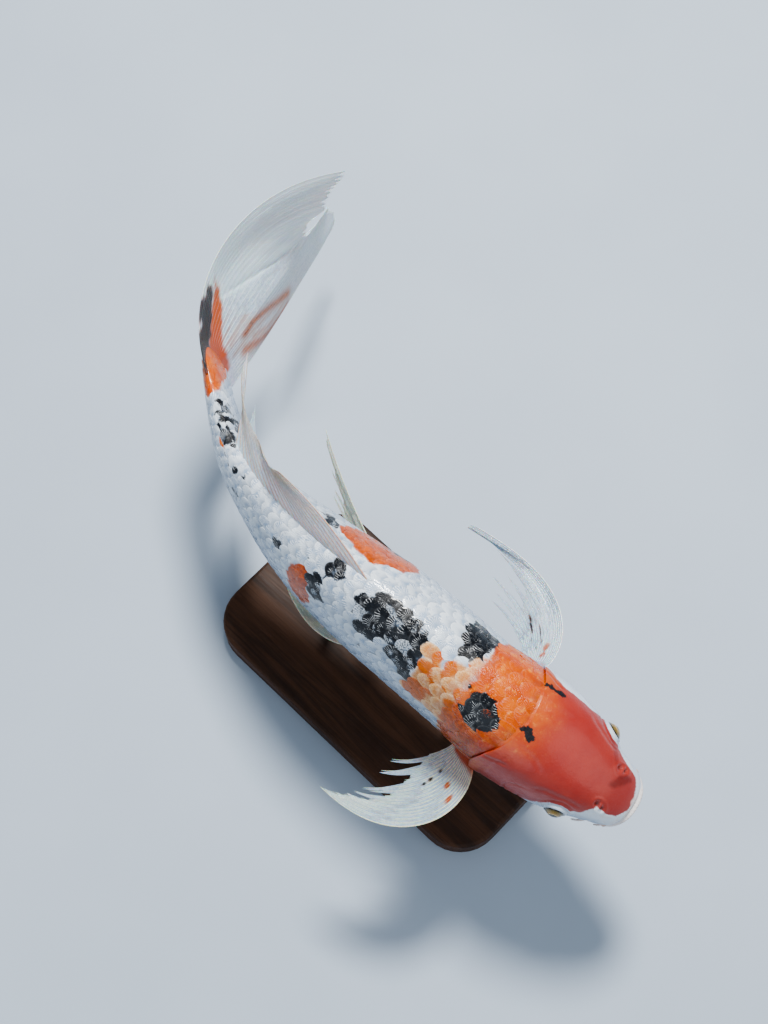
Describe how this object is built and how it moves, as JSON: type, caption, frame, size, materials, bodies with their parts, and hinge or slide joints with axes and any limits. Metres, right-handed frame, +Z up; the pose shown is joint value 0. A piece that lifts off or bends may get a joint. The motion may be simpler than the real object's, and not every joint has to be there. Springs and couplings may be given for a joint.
{
  "type": "koi carp",
  "caption": "Long-finned koi carp in a gently curved swimming pose, as a still life-size model on a flat base with upright rods.",
  "frame": {"origin": "on the floor under the middle of the whole model's box", "axes": "+Z up; the fish's head points towards -Y, its right side faces -X"},
  "size_m": [0.3111, 0.4529, 0.2127],
  "materials": {
    "scaled_skin": "wet pearly scaled skin, white with orange and black patches",
    "head_skin": "smooth wet skin, orange red",
    "lip_skin": "soft wet pale skin",
    "fin_membrane": "thin translucent membrane with fine rays",
    "eye": "clear wet eye with a golden olive iris",
    "stand_wood": "satin dark walnut",
    "stand_steel": "satin brushed"
  },
  "bodies": {
    "root": {"head": "head_skin", "gill_cover_left": "head_skin", "gill_cover_right": "head_skin", "upper_lip": "lip_skin", "lower_lip": "lip_skin", "barbel_front_left": "lip_skin", "barbel_front_right": "lip_skin", "barbel_rear_left": "lip_skin", "barbel_rear_right": "lip_skin", "eye_left": "eye", "eye_right": "eye", "trunk": "scaled_skin", "tail": "scaled_skin", "dorsal_fin": "fin_membrane", "anal_fin": "fin_membrane", "caudal_fin_upper": "fin_membrane", "caudal_fin_lower": "fin_membrane", "pectoral_fin_left": "fin_membrane", "pectoral_fin_right": "fin_membrane", "pelvic_fin_left": "fin_membrane", "pelvic_fin_right": "fin_membrane", "stand_base": "stand_wood", "stand_rod_front": "stand_steel", "stand_rod_rear": "stand_steel"}
  },
  "joints": []
}
